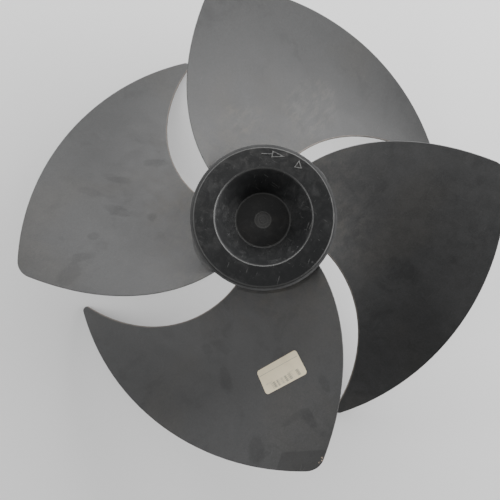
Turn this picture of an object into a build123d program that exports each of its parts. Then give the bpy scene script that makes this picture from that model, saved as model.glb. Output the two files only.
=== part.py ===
from build123d import *
import math
import os

# Fan wheel
FAN_DIAMETER = 460.0
BLADE_COUNT = 4

# Hub. The origin is on the axis, in the rear face of the shaft boss. A small step runs around its front.
HUB_FACE_HEIGHT = 54.0
HUB_DIAMETER = 131.0
HUB_DRAFT_ANGLE = 1.0
HUB_WALL = 2.8
HUB_EDGE_CHAMFER = 1.4
HUB_STEP_WIDTH = 2.3
HUB_STEP_DEPTH = 1.9
HUB_REAR_MARGIN = 9.0

# Front recess of the hub, a cone that ends in a valley around a very low dome
RECESS_RIM_DIAMETER = 87.0
RECESS_RIM_CHAMFER = 0.9
RECESS_DEPTH = 25.0
VALLEY_DIAMETER = 52.0
VALLEY_FLAT = 1.2
DOME_HEIGHT = 2.0
DOME_SHOULDER_HEIGHT = 1.4
DIMPLE_DIAMETER = 14.6
DIMPLE_DEPTH = 1.0
GATE_DIAMETER = 5.0
GATE_HEIGHT = 0.5

# Shaft boss with its blind bore, a round pilot at the mouth and a flatted seat behind it
BOSS_DIAMETER = 27.0
PILOT_DIAMETER = 9.0
PILOT_LENGTH = 8.0
BORE_DIAMETER = 8.0
BORE_ACROSS_FLAT = 7.0
BORE_DEPTH = 24.0
RIB_COUNT = 8
RIB_THICKNESS = 2.2
RIB_SETBACK = 4.0

# Blades, at the hub, at mid span and at the tip. Angles run from the X axis, depths from the hub's face.
LEADING_ROOT_ANGLE = 66.75
LEADING_MIDDLE_ANGLE = 45.75
LEADING_TIP_ANGLE = 20.75
LEADING_ROOT_DEPTH = 49.0
LEADING_MIDDLE_DEPTH = 104.0
LEADING_TIP_DEPTH = 148.0
TRAILING_ROOT_ANGLE = 138.75
TRAILING_MIDDLE_ANGLE = 118.6
TRAILING_TIP_ANGLE = 102.35
TRAILING_ROOT_DEPTH = 2.5
TRAILING_TIP_DEPTH = 14.0
ROOT_CAMBER = 6.0
TIP_TWIST = 20.0
ROOT_THICKNESS = 4.6
TIP_THICKNESS = 2.8
EDGE_THICKNESS = 2.4
EDGE_CHAMFER = 0.7
ROOT_FILLET = 6.0
LEADING_CORNER_RADIUS = 4.2
TRAILING_CORNER_RADIUS = 20.0

# Paper label on the pressure side of one blade
LABEL_BLADE = 2
LABEL_LENGTH = 48.0
LABEL_WIDTH = 24.0
LABEL_CORNER_RADIUS = 3.0
LABEL_THICKNESS = 0.2
LABEL_TIP_DISTANCE = 85.4
LABEL_CHORD = 0.693
LABEL_TURN = -63.5

# Worked out from the sizes above
TIP_RADIUS = FAN_DIAMETER / 2
HUB_RADIUS = HUB_DIAMETER / 2
HUB_REAR_HEIGHT = HUB_FACE_HEIGHT - LEADING_ROOT_DEPTH - HUB_REAR_MARGIN
STEP_RADIUS = HUB_RADIUS - HUB_STEP_WIDTH
STEP_HEIGHT = HUB_FACE_HEIGHT - HUB_STEP_DEPTH
VALLEY_HEIGHT = HUB_FACE_HEIGHT - RECESS_DEPTH
DOME_TOP_HEIGHT = VALLEY_HEIGHT + DOME_HEIGHT
BLADE_PITCH = 360 / BLADE_COUNT
LABEL_RADIUS = TIP_RADIUS - LABEL_TIP_DISTANCE
FILLET_DEPTH = EDGE_THICKNESS / 2

# How closely the curved forms are drawn, and how far they run past the edges that trim them
SURFACE_STATIONS = 10
SURFACE_TOLERANCE = 0.02
SURFACE_MARGIN = 3.0
EDGE_STATIONS = 5
FILLET_STATIONS = 6
FILLET_INSET = 0.03
FILLET_SINK = 0.3


def parabola(root, middle, tip, span):
    """Value along the span that takes the three given values at 0, 1/2 and 1."""
    return root + (tip - root) * span + 4 * (middle - (root + tip) / 2) * span * (1 - span)


def leading_edge(span):
    """Angle and height of the leading edge."""
    angle = parabola(LEADING_ROOT_ANGLE, LEADING_MIDDLE_ANGLE, LEADING_TIP_ANGLE, span)
    depth = parabola(LEADING_ROOT_DEPTH, LEADING_MIDDLE_DEPTH, LEADING_TIP_DEPTH, span)
    return angle, HUB_FACE_HEIGHT - depth


def trailing_edge(span):
    """Angle and height of the trailing edge."""
    angle = parabola(TRAILING_ROOT_ANGLE, TRAILING_MIDDLE_ANGLE, TRAILING_TIP_ANGLE, span)
    depth = TRAILING_ROOT_DEPTH + (TRAILING_TIP_DEPTH - TRAILING_ROOT_DEPTH) * span
    return angle, HUB_FACE_HEIGHT - depth


def polar(radius, angle, height):
    """Point at a radius and an angle in degrees."""
    turn = math.radians(angle)
    return Vector(radius * math.cos(turn), radius * math.sin(turn), height)


def axis_distance(point):
    """Distance of a point from the fan's axis."""
    return math.hypot(point.X, point.Y)


def span_at(radius):
    """Share of the blade's span at a radius, 0 on the hub's wall and 1 at the tip."""
    return (radius - HUB_RADIUS) / (TIP_RADIUS - HUB_RADIUS)


def pressure_point(radius, chord):
    """Point of the front side, chord running from 0 on the leading edge to 1 on the trailing edge."""
    span = span_at(radius)
    start_angle, start_height = leading_edge(span)
    end_angle, end_height = trailing_edge(span)
    bow = TIP_TWIST * span * (2 * chord - 1) - 4 * ROOT_CAMBER * (1 - span)
    height = start_height + (end_height - start_height) * chord + chord * (1 - chord) * bow
    return polar(radius, start_angle + (end_angle - start_angle) * chord, height)


def pressure_normal(radius, chord):
    """Unit normal of the front side, pointing to the front."""
    step = 0.001
    along_span = pressure_point(radius + step, chord) - pressure_point(radius - step, chord)
    along_chord = pressure_point(radius, chord + step) - pressure_point(radius, chord - step)
    return along_span.cross(along_chord).normalized()


def thickness(radius, chord):
    """Blade thickness, crowned between the two edges and thinning towards the tip."""
    crown = ROOT_THICKNESS + (TIP_THICKNESS - ROOT_THICKNESS) * span_at(radius)
    return EDGE_THICKNESS + (crown - EDGE_THICKNESS) * math.sin(math.pi * chord)


def rear_point(radius, chord):
    """Point of the rear side, one blade thickness behind the front."""
    return pressure_point(radius, chord) - pressure_normal(radius, chord) * thickness(radius, chord)


def label_point(radius, chord):
    """Point of the label's face, one paper thickness in front of the blade."""
    return pressure_point(radius, chord) + pressure_normal(radius, chord) * LABEL_THICKNESS


def steps(start, end, count):
    """Evenly spaced values from start to end."""
    return [start + (end - start) * step / count for step in range(count + 1)]


def above(point_at, x, y):
    """Point of a blade side over a place in the fan's plane."""
    radius = math.hypot(x, y)
    start_angle = leading_edge(span_at(radius))[0]
    end_angle = trailing_edge(span_at(radius))[0]
    angle = math.degrees(math.atan2(y, x))
    return point_at(radius, (angle - start_angle) / (end_angle - start_angle))


def surface(point_at):
    """Cubic face of a blade side over the box around the blade's outline."""
    box = blade_outline().bounding_box()
    columns = steps(box.min.X - SURFACE_MARGIN, box.max.X + SURFACE_MARGIN, SURFACE_STATIONS)
    rows = steps(box.min.Y - SURFACE_MARGIN, box.max.Y + SURFACE_MARGIN, SURFACE_STATIONS)
    grid = [[above(point_at, x, y) for y in rows] for x in columns]
    return Face.make_surface_from_array_of_points(grid, tol=SURFACE_TOLERANCE, min_deg=3, max_deg=3)


def slab(front, rear):
    """Solid between two faces that lie one behind the other."""
    sides = []
    for edge in front.edges():
        partner = min(rear.edges(), key=lambda other: (other.center() - edge.center()).length)
        sides.append(Face.make_surface_from_curves(edge, partner))
    return Solid(Shell([front, rear] + sides))


def blade_outline():
    """Flat outline of a blade seen along the axis, with its two rounded tip corners."""
    inner = HUB_RADIUS - HUB_WALL / 2
    radii = steps(inner, TIP_RADIUS, EDGE_STATIONS)
    leading = [polar(radius, leading_edge(span_at(radius))[0], 0) for radius in radii]
    trailing = [polar(radius, trailing_edge(span_at(radius))[0], 0) for radius in radii]
    tip_middle = polar(TIP_RADIUS, (LEADING_TIP_ANGLE + TRAILING_TIP_ANGLE) / 2, 0)
    root_middle = polar(inner, (LEADING_ROOT_ANGLE + TRAILING_ROOT_ANGLE) / 2, 0)
    edges = [
        Spline(*leading),
        ThreePointArc(leading[-1], tip_middle, trailing[-1]),
        Spline(*trailing),
        ThreePointArc(trailing[0], root_middle, leading[0]),
    ]
    leading_corner = make_face(edges).vertices().sort_by_distance(leading[-1])[0]
    outline = fillet(leading_corner, LEADING_CORNER_RADIUS)
    trailing_corner = outline.vertices().sort_by_distance(trailing[-1])[0]
    return fillet(trailing_corner, TRAILING_CORNER_RADIUS)


def root_section(chord):
    """Section of the root fillet: a hollow arc from the hub's wall to the blade, closed inside the material."""
    base = pressure_point(HUB_RADIUS, chord)
    angle = math.degrees(math.atan2(base.Y, base.X))
    room = STEP_HEIGHT - base.Z
    reach = ROOT_FILLET * room / (ROOT_FILLET + room)
    foot = polar(HUB_RADIUS + reach, angle, 0)
    foot_height = above(pressure_point, foot.X, foot.Y).Z
    bend = reach * (1 - math.sqrt(0.5))
    bend_height = base.Z + (foot_height - base.Z) * bend / reach + bend
    wall_end = polar(HUB_RADIUS - FILLET_SINK, angle, base.Z + reach)
    middle = polar(HUB_RADIUS + bend, angle, bend_height)
    blade_end = polar(HUB_RADIUS + reach, angle, foot_height - FILLET_SINK)
    inside = polar(HUB_RADIUS - FILLET_DEPTH, angle, base.Z - FILLET_DEPTH)
    return make_face(ThreePointArc(wall_end, middle, blade_end) + Polyline(blade_end, inside, wall_end))


def make_root_fillet():
    """Bar along the blade's root that fills the corner between the hub's wall and the blade's front."""
    return loft([root_section(chord) for chord in steps(FILLET_INSET, 1 - FILLET_INSET, FILLET_STATIONS)])


def make_blade():
    """One blade, trimmed along the axis as the mould parts, with its front edges broken."""
    reach = HUB_DIAMETER + LEADING_TIP_DEPTH
    prism = extrude(blade_outline(), reach, both=True)
    blade = (slab(surface(pressure_point), surface(rear_point)) & prism).solid()
    front = blade.faces().sort_by(SortBy.AREA)[-2:].sort_by(Axis.Z)[-1]
    free_edges = [edge for edge in front.edges() if axis_distance(edge @ 0.5) > HUB_RADIUS]
    return blade.chamfer(EDGE_CHAMFER, None, free_edges)


def recess_under_radius(height):
    """Radius of the recess cone's rear side at a height, one wall behind its front side."""
    slope = (RECESS_RIM_DIAMETER - VALLEY_DIAMETER) / 2 / RECESS_DEPTH
    return VALLEY_DIAMETER / 2 + HUB_WALL * math.hypot(1, slope) + (height - VALLEY_HEIGHT) * slope


def skirt_radius(height):
    """Outer radius of the drafted hub wall at a height."""
    return HUB_RADIUS + (HUB_FACE_HEIGHT - height) * math.tan(math.radians(HUB_DRAFT_ANGLE))


def hub_section():
    """Half section of the hub: skirt, front ring, recess, dome and solid boss."""
    rim = RECESS_RIM_DIAMETER / 2
    valley = VALLEY_DIAMETER / 2
    dimple = DIMPLE_DIAMETER / 2
    gate = GATE_DIAMETER / 2
    boss = BOSS_DIAMETER / 2
    web_height = VALLEY_HEIGHT - HUB_WALL
    ring_height = HUB_FACE_HEIGHT - HUB_WALL
    under_step = STEP_HEIGHT - HUB_WALL
    dimple_height = DOME_TOP_HEIGHT - DIMPLE_DEPTH
    shoulder = (valley - VALLEY_FLAT + dimple) / 2
    shoulder_height = VALLEY_HEIGHT + DOME_SHOULDER_HEIGHT
    outer = Polyline(
        (skirt_radius(HUB_REAR_HEIGHT), HUB_REAR_HEIGHT),
        (skirt_radius(STEP_HEIGHT), STEP_HEIGHT),
        (STEP_RADIUS, STEP_HEIGHT),
        (STEP_RADIUS, HUB_FACE_HEIGHT - HUB_EDGE_CHAMFER),
        (STEP_RADIUS - HUB_EDGE_CHAMFER, HUB_FACE_HEIGHT),
        (rim + RECESS_RIM_CHAMFER, HUB_FACE_HEIGHT),
        (rim, HUB_FACE_HEIGHT - RECESS_RIM_CHAMFER),
        (valley, VALLEY_HEIGHT),
        (valley - VALLEY_FLAT, VALLEY_HEIGHT),
    )
    dome_foot = (valley - VALLEY_FLAT, VALLEY_HEIGHT)
    dome = ThreePointArc(dome_foot, (shoulder, shoulder_height), (dimple, DOME_TOP_HEIGHT))
    inner = Polyline(
        (dimple, DOME_TOP_HEIGHT),
        (dimple, dimple_height),
        (gate, dimple_height),
        (gate, dimple_height + GATE_HEIGHT),
        (0, dimple_height + GATE_HEIGHT),
        (0, 0),
        (boss, 0),
        (boss, web_height),
        (recess_under_radius(web_height), web_height),
        (recess_under_radius(ring_height), ring_height),
        (STEP_RADIUS - HUB_WALL, ring_height),
        (skirt_radius(under_step) - HUB_WALL, under_step),
        (skirt_radius(HUB_REAR_HEIGHT) - HUB_WALL, HUB_REAR_HEIGHT),
        (skirt_radius(HUB_REAR_HEIGHT), HUB_REAR_HEIGHT),
    )
    return make_face(Plane.XZ * (outer + dome + inner))


def make_rib():
    """Stiffening rib from the boss to the skirt, ending inside the walls that it joins."""
    sink = HUB_WALL / 2
    boss = BOSS_DIAMETER / 2 - sink
    web_height = VALLEY_HEIGHT - sink
    ring_height = HUB_FACE_HEIGHT - sink
    under_step = STEP_HEIGHT - sink
    outline = Polyline(
        (boss, RIB_SETBACK),
        (skirt_radius(RIB_SETBACK) - sink, RIB_SETBACK),
        (skirt_radius(under_step) - sink, under_step),
        (STEP_RADIUS - sink, ring_height),
        (recess_under_radius(ring_height) - sink, ring_height),
        (recess_under_radius(web_height) - sink, web_height),
        (boss, web_height),
        close=True,
    )
    return extrude(make_face(Plane.XZ * outline), RIB_THICKNESS / 2, both=True)


def make_bore():
    """Blind hole for the motor shaft: round pilot, then the seat with one flat."""
    pilot = Cylinder(PILOT_DIAMETER / 2, PILOT_LENGTH, align=(Align.CENTER, Align.CENTER, Align.MIN))
    seat = Cylinder(BORE_DIAMETER / 2, BORE_DEPTH, align=(Align.CENTER, Align.CENTER, Align.MIN))
    keep = BORE_ACROSS_FLAT - BORE_DIAMETER / 2
    flat = Pos(keep, 0, 0) * Box(
        BORE_DIAMETER, BORE_DIAMETER, BORE_DEPTH, align=(Align.MIN, Align.CENTER, Align.MIN)
    )
    return pilot + (seat - flat)


def make_fan_wheel():
    """Hub, ribs and blades in one moulding."""
    wheel = revolve(hub_section(), Axis.Z)
    wheel += [Rot(0, 0, 360 / RIB_COUNT * index) * make_rib() for index in range(RIB_COUNT)]
    blade = make_blade()
    fillet_bar = make_root_fillet()
    for index in range(BLADE_COUNT):
        wheel += Rot(0, 0, BLADE_PITCH * index) * blade
        wheel += Rot(0, 0, BLADE_PITCH * index) * fillet_bar
    return wheel - make_bore()


def label_seat():
    """Plane that touches the blade under the label's middle, its X along the label's long side."""
    middle = pressure_point(LABEL_RADIUS, LABEL_CHORD)
    normal = pressure_normal(LABEL_RADIUS, LABEL_CHORD)
    turn = math.degrees(math.atan2(middle.Y, middle.X)) + LABEL_TURN
    run = polar(1, turn, 0)
    rise = Vector(0, 0, -run.dot(normal) / normal.Z)
    return Plane(middle, x_dir=run + rise, z_dir=normal)


def make_paper_label():
    """Rounded paper label that follows the front side of its blade."""
    outline = RectangleRounded(LABEL_LENGTH, LABEL_WIDTH, LABEL_CORNER_RADIUS)
    cutter = extrude(label_seat() * outline, LABEL_WIDTH, both=True)
    paper = slab(surface(label_point), surface(pressure_point)) & cutter
    return Rot(0, 0, BLADE_PITCH * LABEL_BLADE) * paper


os.makedirs("parts", exist_ok=True)
export_step(make_fan_wheel(), "parts/fan_wheel.step")
export_step(make_paper_label(), "parts/paper_label.step")
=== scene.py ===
"""Looks of the axial fan wheel of an outdoor air conditioner unit, built around its CAD frame."""

import math

import bpy
from bpy.props import FloatProperty, FloatVectorProperty, PointerProperty
from mathutils import Matrix, Vector


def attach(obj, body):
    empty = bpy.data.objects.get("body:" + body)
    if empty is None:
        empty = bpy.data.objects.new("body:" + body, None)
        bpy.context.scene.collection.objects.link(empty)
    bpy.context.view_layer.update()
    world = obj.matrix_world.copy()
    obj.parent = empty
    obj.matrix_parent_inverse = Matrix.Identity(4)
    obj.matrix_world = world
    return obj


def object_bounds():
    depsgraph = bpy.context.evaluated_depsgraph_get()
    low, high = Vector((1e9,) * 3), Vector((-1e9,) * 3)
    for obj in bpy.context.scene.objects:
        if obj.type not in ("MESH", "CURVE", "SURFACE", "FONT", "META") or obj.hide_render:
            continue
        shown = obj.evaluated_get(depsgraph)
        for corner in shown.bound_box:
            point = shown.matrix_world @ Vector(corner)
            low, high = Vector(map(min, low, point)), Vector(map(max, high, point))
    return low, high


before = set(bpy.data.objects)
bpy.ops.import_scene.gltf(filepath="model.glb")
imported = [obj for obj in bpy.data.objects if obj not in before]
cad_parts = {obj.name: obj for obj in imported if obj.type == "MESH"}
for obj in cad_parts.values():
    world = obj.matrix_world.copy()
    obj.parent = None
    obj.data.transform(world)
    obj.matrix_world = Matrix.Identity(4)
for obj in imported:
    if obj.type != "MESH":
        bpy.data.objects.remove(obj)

bl_info = {
    "name": "Axial fan wheel",
    "version": (1, 0, 0),
    "blender": (4, 5, 0),
    "location": "View3D > Sidebar > Fan wheel",
    "description": "Plastic and paper finishes, moulded hub signs and a studio for an axial fan wheel",
    "category": "Object",
}

CAD_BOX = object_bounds()
BODY = "root"
FAN_NODE = "fan_wheel"
LABEL_NODE = "paper_label"

# Heights and radii of the moulding, in metres.
HUB_FACE = CAD_BOX[1][2]
FLOOR_HEIGHT = CAD_BOX[0][2]
TIP_RADIUS = CAD_BOX[1][0]
HUB_RADIUS = 0.0655
STEP_RADIUS = 0.0632
RIM_RADIUS = 0.0435
VALLEY_RADIUS = 0.0260
VALLEY_HEIGHT = 0.0290
DIMPLE_RADIUS = 0.0080
BLADE_PITCH = math.radians(90)

# Place of a leading edge around the axis at the hub, halfway out and at the tip.
LEADING_ANGLES = (math.radians(66.75), math.radians(45.75), math.radians(20.75))

# Inner and outer radius of each turned ring in the dimple.
DIMPLE_RINGS = ((0.0020, 0.0026), (0.0041, 0.0046), (0.0069, 0.0077))
RING_BLUR = 0.0002
EJECTOR_MARK = (0.0428, -0.0405, HUB_FACE)

# Direction, length and cover of each family of hair scratches. More cover means fewer scratches.
SCRATCH_FAMILIES = ((0.5, 0.011, 0.715), (-0.9, 0.009, 0.72), (1.9, 0.014, 0.715))

# Damage and a cleaner patch on the bottom blade's trailing corner.
CHIPS = ((0.0517, -0.2133, 0.0399), (0.0513, -0.2156, 0.0399), (0.0495, -0.2176, 0.0394))
CLEAN_CORNER = (0.0332, -0.2164)
CLEAN_CORNER_TURN = math.radians(11.8)
CLEAN_CORNER_SLANT = 0.6

# Ovals on the blades, seen along the axis: across, up, turn, half length, half width and strength.
TOUCHES = (
    (-0.1155, 0.0708, math.radians(-2), 0.0150, 0.0054, 0.95),
    (-0.1450, 0.0135, math.radians(-17), 0.0148, 0.0060, 1.0),
    (-0.1490, 0.0490, math.radians(-8), 0.0136, 0.0042, 0.60),
    (-0.1760, 0.0340, math.radians(-15), 0.0125, 0.0048, 0.45),
    (-0.1110, 0.0070, math.radians(-20), 0.0060, 0.0050, 0.65),
    (-0.0370, -0.1560, math.radians(-76), 0.0150, 0.0068, 0.58),
    (-0.0570, -0.1280, math.radians(-50), 0.0068, 0.0060, 0.60),
    (-0.0066, -0.2152, math.radians(80), 0.0130, 0.0085, 0.55),
    (0.0414, -0.1810, math.radians(-60), 0.0100, 0.0055, 0.55),
    (0.0554, -0.1496, math.radians(-70), 0.0080, 0.0046, 0.45),
    (-0.1634, -0.0135, math.radians(10), 0.0070, 0.0046, 0.60),
    (-0.1701, -0.0345, math.radians(12), 0.0120, 0.0050, 0.65),
    (-0.1782, -0.0516, math.radians(60), 0.0130, 0.0095, 0.50),
)
DUST_PATCHES = (
    (0.0540, 0.1280, math.radians(52), 0.038, 0.030, 1.0),
    (-0.0160, 0.1010, math.radians(10), 0.026, 0.016, 0.8),
)

# Start, end and strength of the label's groups of bars, and start and end of its two captions.
BAR_GROUPS = ((-0.0145, -0.0070, 1), (-0.0068, -0.0020, 0.55), (-0.0018, 0.0085, 1), (0.0122, 0.0150, 1))
CAPTIONS = ((-0.0190, -0.0120), (0.0045, 0.0100))

SIGN_SOFTNESS = 0.0001
SIGN_SMOOTH_ANGLE = math.radians(40)

# Name, place, size and power of each softbox, and the greys of the studio's air.
SOFTBOXES = (
    ("right_softbox", (1.50, 0.45, 0.60), (2.7, 0.76), 66),
    ("top_softbox", (-0.25, 1.55, 0.56), (2.3, 0.70), 42),
    ("left_fill", (-1.60, -0.25, 0.75), (1.8, 0.8), 18),
)
HORIZON_GREY = (0.46, 0.46, 0.46)
DIM_CEILING_GREY = (0.12, 0.12, 0.12)
BRIGHT_CEILING_GREY = (0.31, 0.31, 0.31)
FLOOR_SIZE = 8
SENSOR_WIDTH = 36
NEAR_CLIP = 0.01


class FanFinish(bpy.types.PropertyGroup):
    """Colours of the moulded plastic and of what has settled on it."""

    plastic_colour: FloatVectorProperty(
        name="Plastic", description="Clean black plastic", subtype="COLOR", size=3,
        min=0, max=1, default=(0.010, 0.0104, 0.0108))
    dust_colour: FloatVectorProperty(
        name="Dust", description="Dry dust film on the blades", subtype="COLOR", size=3,
        min=0, max=1, default=(0.0607, 0.0611, 0.0614))
    warm_dust_colour: FloatVectorProperty(
        name="Warm dust", description="Sandy dust that gathers in patches near the hub", subtype="COLOR",
        size=3, min=0, max=1, default=(0.074, 0.067, 0.056))
    # Also the colour of the highlights painted along the hub's edges.
    worn_and_highlight_colour: FloatVectorProperty(
        name="Worn edges", description="Rubbed raised signs and scratches", subtype="COLOR", size=3,
        min=0, max=1, default=(0.12, 0.12, 0.117))
    edge_colour: FloatVectorProperty(
        name="Leading edges", description="Brownish dirt that the air leaves on the leading edges",
        subtype="COLOR", size=3, min=0, max=1, default=(0.25, 0.21, 0.175))
    chip_colour: FloatVectorProperty(
        name="Chips", description="Light spots knocked out of a blade corner", subtype="COLOR", size=3,
        min=0, max=1, default=(0.50, 0.40, 0.31))


class LabelFinish(bpy.types.PropertyGroup):
    """The aged paper label and its faint print."""

    paper_colour: FloatVectorProperty(
        name="Paper", description="Yellowed paper", subtype="COLOR", size=3,
        min=0, max=1, default=(0.92, 0.82, 0.585))
    aged_colour: FloatVectorProperty(
        name="Aged paper", description="Browned border and stains", subtype="COLOR", size=3,
        min=0, max=1, default=(0.54, 0.43, 0.28))
    ink_colour: FloatVectorProperty(
        name="Ink", description="Faded grey print", subtype="COLOR", size=3,
        min=0, max=1, default=(0.24, 0.23, 0.19))
    middle: FloatVectorProperty(
        name="Middle", description="Middle of the label seen along the axis", subtype="XYZ", size=2,
        unit="LENGTH", default=(0.0176, -0.1435))
    turn: FloatProperty(
        name="Turn", description="Direction of the label's long side", subtype="ANGLE",
        default=math.radians(33.5))


class HubSigns(bpy.types.PropertyGroup):
    """Raised signs on the hub's front ring."""

    sign_radius: FloatProperty(
        name="Radius", description="Distance of the arrow from the axis", unit="LENGTH", default=0.0565)
    triangle_radius: FloatProperty(
        name="Triangle radius", description="Distance of the triangle from the axis", unit="LENGTH",
        default=0.0554)
    stroke: FloatProperty(
        name="Stroke", description="Width of a raised line", unit="LENGTH", default=0.0009)
    height: FloatProperty(
        name="Height", description="How far the signs stand out", unit="LENGTH", default=0.0003)
    shaft_length: FloatProperty(
        name="Arrow shaft", description="Length of the arrow's shaft", unit="LENGTH", default=0.0095)
    head_size: FloatVectorProperty(
        name="Arrow head", description="Width and length of the arrow's head", size=2, unit="LENGTH",
        default=(0.0064, 0.0120))
    triangle_size: FloatVectorProperty(
        name="Triangle", description="Width and length of the triangle", size=2, unit="LENGTH",
        default=(0.0074, 0.0075))
    shaft_angle: FloatProperty(
        name="Shaft angle", description="Place of the shaft around the hub", subtype="ANGLE",
        default=math.radians(87.2))
    head_angle: FloatProperty(
        name="Head angle", description="Place of the arrow's head around the hub", subtype="ANGLE",
        default=math.radians(78.2))
    triangle_angle: FloatProperty(
        name="Triangle angle", description="Place of the triangle around the hub", subtype="ANGLE",
        default=math.radians(55.8))
    triangle_turn: FloatProperty(
        name="Triangle turn", description="Turn of the triangle from pointing away from the axis",
        subtype="ANGLE", default=math.radians(24))


class StudioSettings(bpy.types.PropertyGroup):
    """Camera and floor."""

    camera_place: FloatVectorProperty(
        name="Camera", description="Place of the lens", subtype="XYZ", size=3, unit="LENGTH",
        default=(-0.01035, -0.05732, 0.46001))
    camera_turn: FloatVectorProperty(
        name="Camera turn", description="Tilt, yaw and roll of the camera", subtype="EULER", size=3,
        default=(math.radians(3.878), math.radians(0.235), 0))
    lens: FloatProperty(
        name="Lens", description="Focal length on a 36 mm sensor, in millimetres", default=33.229)
    floor_colour: FloatVectorProperty(
        name="Floor", description="Pale studio floor", subtype="COLOR", size=3,
        min=0, max=1, default=(0.80, 0.80, 0.80))


class Field:
    """A shader socket that takes part in Python arithmetic."""

    def __init__(self, tree, socket):
        self.tree = tree
        self.socket = socket

    def node(self, kind, settings=None, inputs=None, output=0):
        """Adds a node, its settings first and then its values or links, and returns one output."""
        added = self.tree.nodes.new(kind)
        for name, value in (settings or {}).items():
            setattr(added, name, value)
        for name, value in (inputs or {}).items():
            if isinstance(value, Field):
                self.tree.links.new(value.socket, added.inputs[name])
            else:
                added.inputs[name].default_value = value
        return Field(self.tree, added.outputs[output])

    def math(self, operation, *values):
        """One Math node on these values."""
        return self.node("ShaderNodeMath", {"operation": operation}, dict(enumerate(values)))

    def __add__(self, other):
        return self.math("ADD", self, other)

    __radd__ = __add__

    def __sub__(self, other):
        return self.math("SUBTRACT", self, other)

    def __rsub__(self, other):
        return self.math("SUBTRACT", other, self)

    def __mul__(self, other):
        return self.math("MULTIPLY", self, other)

    __rmul__ = __mul__

    def __pow__(self, exponent):
        return self.math("POWER", self, exponent)

    def clamp(self):
        """Value held between 0 and 1."""
        return self.node("ShaderNodeClamp", None, {"Value": self})

    def step(self, low, high):
        """Smooth rise from 0 at low to 1 at high."""
        ends = {"Value": self, "From Min": low, "From Max": high, "To Min": 0, "To Max": 1}
        return self.node("ShaderNodeMapRange", {"interpolation_type": "SMOOTHSTEP"}, ends)

    def band(self, low, high, blur):
        """1 between low and high, falling to 0 over the blur on either side."""
        return self.step(low - blur, low + blur) * (1 - self.step(high - blur, high + blur))

    def noise(self, scale, detail=3, roughness=0.5, distortion=0):
        """Cloudy noise at this place."""
        sockets = {"Vector": self, "Scale": scale, "Detail": detail}
        sockets.update({"Roughness": roughness, "Distortion": distortion})
        return self.node("ShaderNodeTexNoise", None, sockets)

    def mapped(self, turn=0, scale=(1, 1, 1)):
        """This place turned about Z and stretched."""
        sockets = {"Vector": self, "Rotation": (0, 0, turn), "Scale": scale}
        return self.node("ShaderNodeMapping", None, sockets)

    def axis(self, name):
        """One coordinate of this place."""
        return self.node("ShaderNodeSeparateXYZ", None, {"Vector": self}, name)

    def distance(self, point):
        """Distance from this place to a point."""
        sockets = {0: self, 1: point}
        return self.node("ShaderNodeVectorMath", {"operation": "DISTANCE"}, sockets, "Value")

    def mix(self, start, end):
        """Colour between start and end by this share."""
        return self.node("ShaderNodeMix", {"data_type": "RGBA"}, {0: self, 6: start, 7: end}, 2)

    def bump(self, height_scale):
        """Normal of a surface that stands out by this height."""
        return self.node("ShaderNodeBump", None, {"Height": self, "Distance": height_scale}, "Normal")


def solid_colour(colour):
    """Colour socket value with full alpha."""
    return (*colour, 1)


def new_finish(name):
    """New material, its Principled shader and the place field that its patterns read."""
    material = bpy.data.materials.new(name)
    material.use_nodes = True
    tree = material.node_tree
    shader = tree.nodes["Principled BSDF"]
    coordinates = tree.nodes.new("ShaderNodeTexCoord")
    return material, shader, Field(tree, coordinates.outputs["Object"])


def feed(shader, **fields):
    """Links fields to the shader's sockets, with underscores for the blanks in their names."""
    for name, field in fields.items():
        field.tree.links.new(field.socket, shader.inputs[name.replace("_", " ")])


def scratches(place, turn, length, cover):
    """Short straight hair scratches that run in one direction."""
    drawn_out = place.mapped(turn=turn).mapped(scale=(1, 14, 1))
    return drawn_out.noise(1 / length, 2, 0.4).step(cover, cover + 0.05)


def ovals(place, shapes, fray):
    """Frayed ovals on the surface, each with its middle, turn, half sizes and strength."""
    inside = 0
    for across, up, turn, half_length, half_width, strength in shapes:
        oval = {"Vector": place, "Location": (across, up, 0), "Rotation": (0, 0, turn),
                "Scale": (half_length, half_width, 1)}
        reach = place.node("ShaderNodeMapping", {"vector_type": "TEXTURE"}, oval).distance((0, 0, 0))
        inside = inside + strength * (1 - (reach + fray).step(0.64, 1.12))
    return inside.clamp()


def finger_marks(place):
    """Oval touches that took some dust away, ridged like the skin that left them."""
    fray = 1.3 * place.noise(130, 5, 0.68) - 0.65
    ridges = place.noise(330, 4, 0.7, 1.5).step(0.36, 0.60)
    return ovals(place, TOUCHES, fray) * (0.50 + 0.50 * ridges)


def dust_streaks(place):
    """Pale sandy streaks, wiped along the blade, that lie in a few patches."""
    fray = 1.1 * place.noise(60, 5, 0.65) - 0.55
    wiped = place.mapped(turn=-0.85).mapped(scale=(1, 3, 1))
    return ovals(place, DUST_PATCHES, fray) * wiped.noise(62, 6, 0.72, 0.6).step(0.44, 0.62)


def turned_place(place, middle, turn):
    """Coordinates along and across a direction in the fan's plane, from a middle point."""
    across = place.axis("X") - middle[0]
    up = place.axis("Y") - middle[1]
    along = across * math.cos(turn) + up * math.sin(turn)
    rise = up * math.cos(turn) - across * math.sin(turn)
    return along, rise


def clean_corner(place):
    """Patch with a slanted side, wiped cleaner than the blade around it."""
    along, rise = turned_place(place, CLEAN_CORNER, CLEAN_CORNER_TURN)
    sides = (along - CLEAN_CORNER_SLANT * rise).step(-0.0194, -0.0180) * (1 - along.step(0.0294, 0.0306))
    return sides * (1 - rise.step(0.0052, 0.0066)) * rise.step(-0.04, -0.03)


def leading_distance(place, radius):
    """Length of arc from the nearest leading edge in front, seen along the axis."""
    root, middle, tip = LEADING_ANGLES
    span = (radius - HUB_RADIUS) * (1 / (TIP_RADIUS - HUB_RADIUS))
    bend = 4 * (middle - (root + tip) / 2)
    edge_angle = root + (tip - root) * span + bend * span * (1 - span)
    angle = place.math("ARCTAN2", place.axis("Y"), place.axis("X"))
    return place.math("FLOORED_MODULO", angle - edge_angle, BLADE_PITCH) * radius


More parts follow.
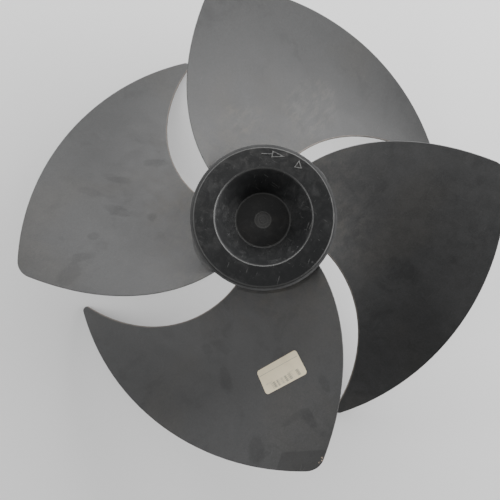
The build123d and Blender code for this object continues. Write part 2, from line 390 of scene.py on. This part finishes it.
def edge_dirt(place, radius, mottle):
    """Patchy dirt along the leading edges, outside the hub."""
    edge = 1 - leading_distance(place, radius).step(0.0008, 0.0014)
    return edge * radius.step(HUB_RADIUS + 0.0006, HUB_RADIUS + 0.0016) * (0.45 + 0.55 * mottle)


def hub_wear_and_highlights(place, radius, dimple):
    """Highlights painted along the edges of the hub's ring, rim and valley, rubbed rings and a pale
    middle in the dimple, and the ejector pin's mark.
    """
    height = place.axis("Z")
    on_ring = height.step(HUB_FACE - 0.0021, HUB_FACE - 0.0016)
    # Painted highlights: light bands along the ring's outer edge, the rim and the valley, where these
    # edges catch the light.
    outer_edge_highlight = radius.band(STEP_RADIUS - 0.0016, STEP_RADIUS - 0.0002, RING_BLUR) * on_ring
    rim_highlight = radius.band(RIM_RADIUS - 0.0003, RIM_RADIUS + 0.0010, RING_BLUR) * on_ring
    valley_highlight = radius.band(VALLEY_RADIUS - 0.0012, VALLEY_RADIUS + 0.0002, RING_BLUR)
    valley_highlight = valley_highlight * height.step(VALLEY_HEIGHT - 0.0015, VALLEY_HEIGHT - 0.0010)
    rings = sum(radius.band(inner, outer, RING_BLUR) for inner, outer in DIMPLE_RINGS)
    rings = rings * height.step(VALLEY_HEIGHT - 0.0005, VALLEY_HEIGHT)
    ejector = 1 - place.distance(EJECTOR_MARK).step(0.0008, 0.0011)
    return 0.25 * outer_edge_highlight + 0.30 * rim_highlight + 0.50 * valley_highlight + 0.25 * ejector + 0.45 * rings + 0.34 * dimple


def corner_chips(place):
    """Ragged light spots on the chipped blade corner."""
    spots = sum(1 - place.distance(chip).step(0.0004, 0.0012) for chip in CHIPS)
    return spots * place.noise(900, 2).step(0.42, 0.56)


def plastic_finish(settings):
    """Black moulded plastic: dusty and cloudy on the blades, cleaner and glossier on the hub."""
    material, shader, place = new_finish("black_plastic")
    radius = (place.axis("X") ** 2 + place.axis("Y") ** 2) ** 0.5
    hub = 1 - radius.step(STEP_RADIUS, STEP_RADIUS + 0.0006)
    shelf = radius.band(STEP_RADIUS + 0.0003, HUB_RADIUS + 0.0006, 0.0003)
    recess = 1 - radius.step(RIM_RADIUS - 0.002, RIM_RADIUS)
    dome = 1 - radius.step(VALLEY_RADIUS - 0.002, VALLEY_RADIUS)
    dimple = 1 - radius.step(DIMPLE_RADIUS - 0.0006, DIMPLE_RADIUS + 0.0006)
    near_hub = 1 - radius.step(0.075, 0.135)
    # Dust on the blades.
    clouds = place.noise(24, 5, 0.60, 0.8).step(0.30, 0.72)
    mottle = place.noise(85, 6, 0.72, 0.4).step(0.34, 0.68)
    smears = place.mapped(turn=0.6).mapped(scale=(1, 5, 1)).noise(16, 5, 0.65, 0.5).step(0.40, 0.75)
    grain = place.noise(560, 3, 0.6).step(0.30, 0.70) + place.noise(1150, 2, 0.6).step(0.30, 0.70)
    smudges = place.noise(30, 6, 0.66, 0.6).step(0.54, 0.66)
    streaks = dust_streaks(place)
    film = 0.30 + 0.10 * clouds + 0.20 * mottle + 0.08 * smears + 0.13 * grain + 0.18 * near_hub * mottle
    film = film * (1 - 0.30 * smudges) * (1 - 0.88 * finger_marks(place)) + 0.25 * shelf + 0.30 * streaks
    film = film * (1 - 0.42 * clean_corner(place))
    warmth = 0.40 * near_hub * mottle + 0.30 * place.noise(11, 3).step(0.48, 0.66) + 0.40 * streaks
    warmth = (warmth * (1 - shelf)).clamp()
    # Dust on the hub; its ring is lighter and rougher towards the top left.
    grime = place.noise(95, 6, 0.70, 0.8).step(0.42, 0.74)
    crumbs = place.noise(1000, 3, 0.6).step(0.57, 0.70)
    top_left_side = (place.axis("Y") - place.axis("X")).step(-0.085, 0.085)
    hub_cover = (0.35 + 1.05 * top_left_side) * (1 - recess) + 0.36 * recess
    hub_film = (0.01 + 0.18 * grime + 0.36 * crumbs) * hub_cover
    hub_film = hub_film + dome * (0.26 + 0.18 * grime) + 0.70 * dimple
    # Wear on both, highlights painted along the hub's edges, and the finish that all of it gives.
    lines = sum(scratches(place, *family) for family in SCRATCH_FAMILIES).clamp() * (0.36 + 0.64 * hub)
    # Scratches, and the hub's rubbed marks together with its painted edge highlights.
    wear_and_highlights = 0.45 * lines + hub_wear_and_highlights(place, radius, dimple)
    dust = film * (1 - hub) + hub_film * hub
    dust_colour = warmth.mix(solid_colour(settings.dust_colour), solid_colour(settings.warm_dust_colour))
    colour = dust.clamp().mix(solid_colour(settings.plastic_colour), dust_colour)
    colour = wear_and_highlights.clamp().mix(colour, solid_colour(settings.worn_and_highlight_colour))
    edge = (0.8 * edge_dirt(place, radius, mottle)).clamp()
    colour = edge.mix(colour, solid_colour(settings.edge_colour))
    colour = corner_chips(place).clamp().mix(colour, solid_colour(settings.chip_colour))
    blade_roughness = 0.51 + 0.05 * clouds + 0.04 * smears + 0.07 * mottle
    hub_roughness = (0.30 + 0.12 * top_left_side) * (1 - recess) + 0.28 * recess + 0.15 * grime
    relief = 0.5 * place.noise(1500, 2) + 0.6 * place.noise(180, 2) - 0.8 * lines
    feed(shader, Base_Color=colour, Roughness=blade_roughness * (1 - hub) + hub_roughness * hub)
    feed(shader, Normal=relief.bump(0.00005))
    return material


def worn_sign_finish(settings):
    """The same plastic rubbed pale on the raised signs."""
    material, shader, place = new_finish("worn_sign")
    rub = place.noise(420, 3, 0.6).step(0.30, 0.62)
    pale = 0.25 + 0.75 * rub
    colour = pale.mix(solid_colour(settings.plastic_colour), solid_colour(settings.worn_and_highlight_colour))
    feed(shader, Base_Color=colour, Roughness=0.45 + 0.15 * rub)
    feed(shader, Normal=place.noise(1500, 2).bump(0.00004))
    return material


def label_print(along, rise):
    """One faint rule, a row of faded bars and two lines of dashes that stand for the print."""
    rule = rise.band(0.0058, 0.0062, 0.0002) * along.band(-0.021, 0.021, 0.0005)
    bar_pattern = along.math("SINE", along * 5200) + 0.8 * along.math("SINE", along * 1500)
    groups = sum(strength * along.band(start, end, 0.0003) for start, end, strength in BAR_GROUPS)
    bars = bar_pattern.step(-0.2, 0.4) * rise.band(-0.0094, -0.0038, 0.0002) * groups
    dashes = along.math("SINE", along * 9000).step(0.0, 0.6) * rise.band(-0.0036, -0.0026, 0.0003)
    captions = dashes * sum(along.band(start, end, 0.0004) for start, end in CAPTIONS)
    return 0.8 * rule + 1.1 * bars + 0.7 * captions


def paper_finish(settings):
    """Aged paper, browned at its border, with faded print."""
    material, shader, place = new_finish("label_paper")
    along, rise = turned_place(place, settings.middle, settings.turn)
    print_wear = place.noise(700, 3).step(0.30, 0.62)
    ink = (label_print(along, rise) * (0.6 + 0.4 * print_wear)).clamp()
    border = 1 - along.band(-0.0234, 0.0234, 0.0004) * rise.band(-0.0114, 0.0114, 0.0004)
    fibres = place.noise(1400, 4, 0.7)
    stain = place.noise(60, 3).step(0.40, 0.75)
    age = (0.20 * stain + 0.16 * fibres + 0.70 * border).clamp()
    paper = age.mix(solid_colour(settings.paper_colour), solid_colour(settings.aged_colour))
    feed(shader, Base_Color=ink.mix(paper, solid_colour(settings.ink_colour)))
    feed(shader, Roughness=0.72 + 0.15 * fibres)
    feed(shader, Normal=(fibres + 0.5 * stain).bump(0.00008))
    return material


def give_finish(piece, material):
    """Makes this the piece's one material."""
    piece.data.materials.clear()
    piece.data.materials.append(material)


def start_piece():
    """Leaves nothing selected, so that the next operators act on the new piece alone."""
    if bpy.context.mode != "OBJECT":
        bpy.ops.object.mode_set(mode="OBJECT")
    bpy.ops.object.select_all(action="DESELECT")


def turn_piece(piece, angle):
    """Turns a piece about Z where it was modelled, at the origin."""
    piece.matrix_world = Matrix.Rotation(angle, 4, "Z")
    bpy.ops.object.transform_apply(location=True, rotation=True, scale=True)


def seat_on_ring(piece, angle, radius):
    """Lays a piece modelled flat at the origin on the hub's ring, its X along the turning direction."""
    turn = Matrix.Rotation(angle - math.pi / 2, 4, "Z")
    place = Vector((radius * math.cos(angle), radius * math.sin(angle), HUB_FACE))
    piece.matrix_world = Matrix.Translation(place) @ turn
    bpy.ops.object.transform_apply(location=True, rotation=True, scale=True)


def raise_outline(height):
    """Gives the flat shape that is being edited its height and leaves edit mode."""
    bpy.ops.mesh.select_all(action="SELECT")
    bpy.ops.mesh.extrude_region_move(TRANSFORM_OT_translate={"value": (0, 0, height)})
    bpy.ops.mesh.select_all(action="SELECT")
    bpy.ops.mesh.normals_make_consistent(inside=False)
    bpy.ops.object.mode_set(mode="OBJECT")


def hollow_triangle(size, stroke, height):
    """Raised outline of a triangle of this width and length that points along Y."""
    width, length = size
    reach = length / 1.5
    start_piece()
    bpy.ops.mesh.primitive_circle_add(vertices=3, radius=reach, fill_type="NGON")
    piece = bpy.context.active_object
    bpy.ops.object.mode_set(mode="EDIT")
    bpy.ops.transform.resize(value=(width / (reach * math.sqrt(3)), 1, 1))
    bpy.ops.mesh.inset(thickness=stroke)
    bpy.ops.mesh.delete(type="FACE")
    raise_outline(height)
    return piece


def straight_line(length, stroke, height):
    """Raised line along X."""
    start_piece()
    bpy.ops.mesh.primitive_plane_add(size=1)
    piece = bpy.context.active_object
    bpy.ops.object.mode_set(mode="EDIT")
    bpy.ops.transform.resize(value=(length, stroke, 1))
    raise_outline(height)
    return piece


def finish_sign(piece, name, material):
    """Names a sign, softens its edges and puts it on the fan."""
    piece.name = name
    piece.data.name = name
    bevel = piece.modifiers.new("soft_edges", "BEVEL")
    bevel.width = SIGN_SOFTNESS
    bevel.segments = 2
    bpy.ops.object.modifier_apply(modifier=bevel.name)
    bpy.ops.object.shade_smooth_by_angle(angle=SIGN_SMOOTH_ANGLE)
    give_finish(piece, material)
    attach(piece, BODY)


class FAN_OT_moulding_finish(bpy.types.Operator):
    """Give the moulded fan its plastic finish"""

    bl_idname = "fan.moulding_finish"
    bl_label = "Moulding finish"

    def execute(self, context):
        give_finish(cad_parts[FAN_NODE], plastic_finish(context.scene.fan_finish))
        return {"FINISHED"}


class FAN_OT_label_finish(bpy.types.Operator):
    """Give the label its aged paper and faded print"""

    bl_idname = "fan.label_finish"
    bl_label = "Label finish"

    def execute(self, context):
        give_finish(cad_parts[LABEL_NODE], paper_finish(context.scene.fan_label))
        return {"FINISHED"}


class FAN_OT_hub_signs(bpy.types.Operator):
    """Model the raised arrow and the triangle on the hub's ring"""

    bl_idname = "fan.hub_signs"
    bl_label = "Hub signs"

    def execute(self, context):
        signs = context.scene.fan_signs
        material = worn_sign_finish(context.scene.fan_finish)
        head = hollow_triangle(signs.head_size, signs.stroke, signs.height)
        turn_piece(head, -math.pi / 2)
        seat_on_ring(head, signs.head_angle, signs.sign_radius)
        finish_sign(head, "arrow_head", material)
        shaft = straight_line(signs.shaft_length, signs.stroke, signs.height)
        seat_on_ring(shaft, signs.shaft_angle, signs.sign_radius)
        finish_sign(shaft, "arrow_shaft", material)
        triangle = hollow_triangle(signs.triangle_size, signs.stroke, signs.height)
        turn_piece(triangle, signs.triangle_turn)
        seat_on_ring(triangle, signs.triangle_angle, signs.triangle_radius)
        finish_sign(triangle, "triangle_sign", material)
        return {"FINISHED"}


def add_floor(colour):
    """Plain pale floor under the blade tips."""
    start_piece()
    bpy.ops.mesh.primitive_plane_add(size=FLOOR_SIZE, location=(0, 0, FLOOR_HEIGHT))
    floor = bpy.context.active_object
    floor.name = "floor"
    material, shader, place = new_finish("pale_floor")
    shader.inputs["Base Color"].default_value = solid_colour(colour)
    feed(shader, Roughness=0.75 + 0.1 * place.noise(3, 2))
    give_finish(floor, material)


def add_softbox(name, place, size, power):
    """Rectangular light that looks at the fan."""
    data = bpy.data.lights.new(name, "AREA")
    data.shape = "RECTANGLE"
    data.size, data.size_y = size
    data.energy = power
    light = bpy.data.objects.new(name, data)
    light.location = place
    light.rotation_euler = (-Vector(place)).to_track_quat("-Z", "Y").to_euler()
    bpy.context.scene.collection.objects.link(light)


def studio_air():
    """Soft grey surroundings, with a ceiling that is brighter towards the top left."""
    world = bpy.data.worlds.new("studio_air")
    world.use_nodes = True
    sky = world.node_tree.nodes["Background"]
    direction = world.node_tree.nodes.new("ShaderNodeTexCoord")
    outward = Field(world.node_tree, direction.outputs["Generated"])
    bright_side = (outward.axis("Y") - outward.axis("X")).step(-0.35, 0.35)
    ceiling = bright_side.mix(solid_colour(DIM_CEILING_GREY), solid_colour(BRIGHT_CEILING_GREY))
    feed(sky, Color=outward.axis("Z").step(0.30, 0.95).mix(solid_colour(HORIZON_GREY), ceiling))
    sky.inputs["Strength"].default_value = 1
    return world


def add_camera(studio):
    """Camera above the fan's front."""
    data = bpy.data.cameras.new("camera")
    data.lens = studio.lens
    data.sensor_width = SENSOR_WIDTH
    data.clip_start = NEAR_CLIP
    camera = bpy.data.objects.new("camera", data)
    camera.location = studio.camera_place
    camera.rotation_euler = studio.camera_turn
    bpy.context.scene.collection.objects.link(camera)
    bpy.context.scene.camera = camera


class FAN_OT_studio(bpy.types.Operator):
    """Set up the floor, the lights and the camera"""

    bl_idname = "fan.studio"
    bl_label = "Studio"

    def execute(self, context):
        studio = context.scene.fan_studio
        add_floor(studio.floor_colour)
        for softbox in SOFTBOXES:
            add_softbox(*softbox)
        context.scene.world = studio_air()
        add_camera(studio)
        return {"FINISHED"}


class FAN_PT_sidebar(bpy.types.Panel):
    """Sizes, colours and steps of the fan wheel"""

    bl_label = "Fan wheel"
    bl_space_type = "VIEW_3D"
    bl_region_type = "UI"
    bl_category = "Fan wheel"

    def draw(self, context):
        for group in GROUPS:
            settings = getattr(context.scene, group)
            for name in settings.bl_rna.properties.keys():
                if name not in ("rna_type", "name"):
                    self.layout.prop(settings, name)
        for operator in OPERATORS:
            self.layout.operator(operator.bl_idname)


GROUPS = {
    "fan_finish": FanFinish,
    "fan_label": LabelFinish,
    "fan_signs": HubSigns,
    "fan_studio": StudioSettings,
}
OPERATORS = (FAN_OT_moulding_finish, FAN_OT_label_finish, FAN_OT_hub_signs, FAN_OT_studio)


def register():
    for cls in (*GROUPS.values(), *OPERATORS, FAN_PT_sidebar):
        bpy.utils.register_class(cls)
    for name, group in GROUPS.items():
        setattr(bpy.types.Scene, name, PointerProperty(type=group))


def unregister():
    for name in GROUPS:
        delattr(bpy.types.Scene, name)
    for cls in (FAN_PT_sidebar, *OPERATORS, *GROUPS.values()):
        bpy.utils.unregister_class(cls)


def main():
    register()
    bpy.ops.fan.moulding_finish()
    bpy.ops.fan.label_finish()
    bpy.ops.fan.hub_signs()
    bpy.ops.fan.studio()


if __name__ == "__main__":
    main()
